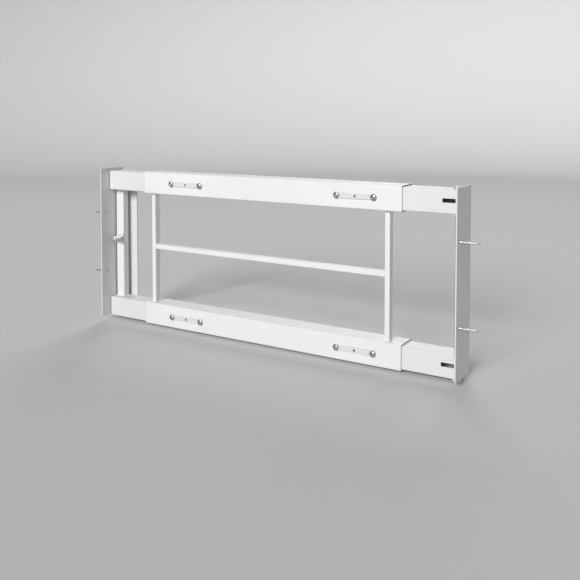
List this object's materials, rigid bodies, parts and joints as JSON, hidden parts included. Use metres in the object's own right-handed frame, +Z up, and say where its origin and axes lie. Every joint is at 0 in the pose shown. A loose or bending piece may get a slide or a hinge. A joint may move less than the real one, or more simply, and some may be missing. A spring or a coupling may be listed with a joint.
{
  "type": "window security bar",
  "caption": "Hinged telescoping window guard: square-tube rails with upright and cross bars that slide to width, swing on one jamb plate and latch to the other with a bolt.",
  "frame": {"origin": "on the mounting face of the hinge jamb plate, at mid-height and mid-depth of the rails", "axes": "+X into the hinge jamb, along the rails; -Y towards the room; +Y towards the window; +Z up"},
  "size_m": [0.91, 0.0725, 0.3469],
  "materials": {
    "powder_coat": "white powder coat, satin",
    "plated_screws": "zinc plated",
    "bright_steel": "bright turned steel",
    "bronze": "sintered bronze"
  },
  "bodies": {
    "hinge_mount": {"hinge_jamb_plate": "powder_coat", "upper_hinge_lugs": "powder_coat", "lower_hinge_lugs": "powder_coat", "hinge_jamb_screws": "plated_screws", "hinge_pin": "bright_steel", "hinge_pin_clip": "bright_steel"},
    "right_frame": {"right_upper_inner_tube": "powder_coat", "right_lower_inner_tube": "powder_coat", "upper_hinge_bush": "bronze", "lower_hinge_bush": "bronze"},
    "sleeve_frame": {"upper_sleeve": "powder_coat", "lower_sleeve": "powder_coat", "left_upright_bar": "powder_coat", "right_upright_bar": "powder_coat", "cross_bar": "powder_coat", "upper_left_lock_plate": "powder_coat", "lower_left_lock_plate": "powder_coat", "upper_right_lock_plate": "powder_coat", "lower_right_lock_plate": "powder_coat", "lock_screws": "plated_screws", "lock_plate_rivets": "plated_screws"},
    "left_frame": {"left_upper_inner_tube": "powder_coat", "left_lower_inner_tube": "powder_coat", "latch_end_post": "powder_coat", "latch_barrel": "powder_coat", "latch_barrel_screws": "plated_screws"},
    "latch_slider": {"latch_bolt": "bright_steel", "latch_knob": "bright_steel"},
    "latch_bracket": {"latch_jamb_bracket": "powder_coat", "latch_jamb_screws": "plated_screws"}
  },
  "joints": [
    {"name": "guard_swing", "type": "hinge", "parent": "hinge_mount", "child": "right_frame", "pos_m": [-0.0115, -0.0156, 0], "axis": [0, 0, 1], "range_deg": [0, 90]},
    {"name": "right_telescope", "type": "slide", "parent": "right_frame", "child": "sleeve_frame", "axis": [-1, 0, 0], "range_m": [-0.065, 0.09]},
    {"name": "left_telescope", "type": "slide", "parent": "sleeve_frame", "child": "left_frame", "axis": [-1, 0, 0], "range_m": [-0.065, 0.09]},
    {"name": "latch_bolt_slide", "type": "slide", "parent": "left_frame", "child": "latch_slider", "axis": [-1, 0, 0], "range_m": [0, 0.0085]},
    {"name": "jamb_spacing", "type": "slide", "parent": "hinge_mount", "child": "latch_bracket", "axis": [-1, 0, 0], "range_m": [-0.13, 0.18]}
  ],
  "couplings": [
    {"joint": "left_telescope", "follows": "right_telescope", "ratio": 1},
    {"joint": "jamb_spacing", "follows": "right_telescope", "ratio": 2}
  ]
}
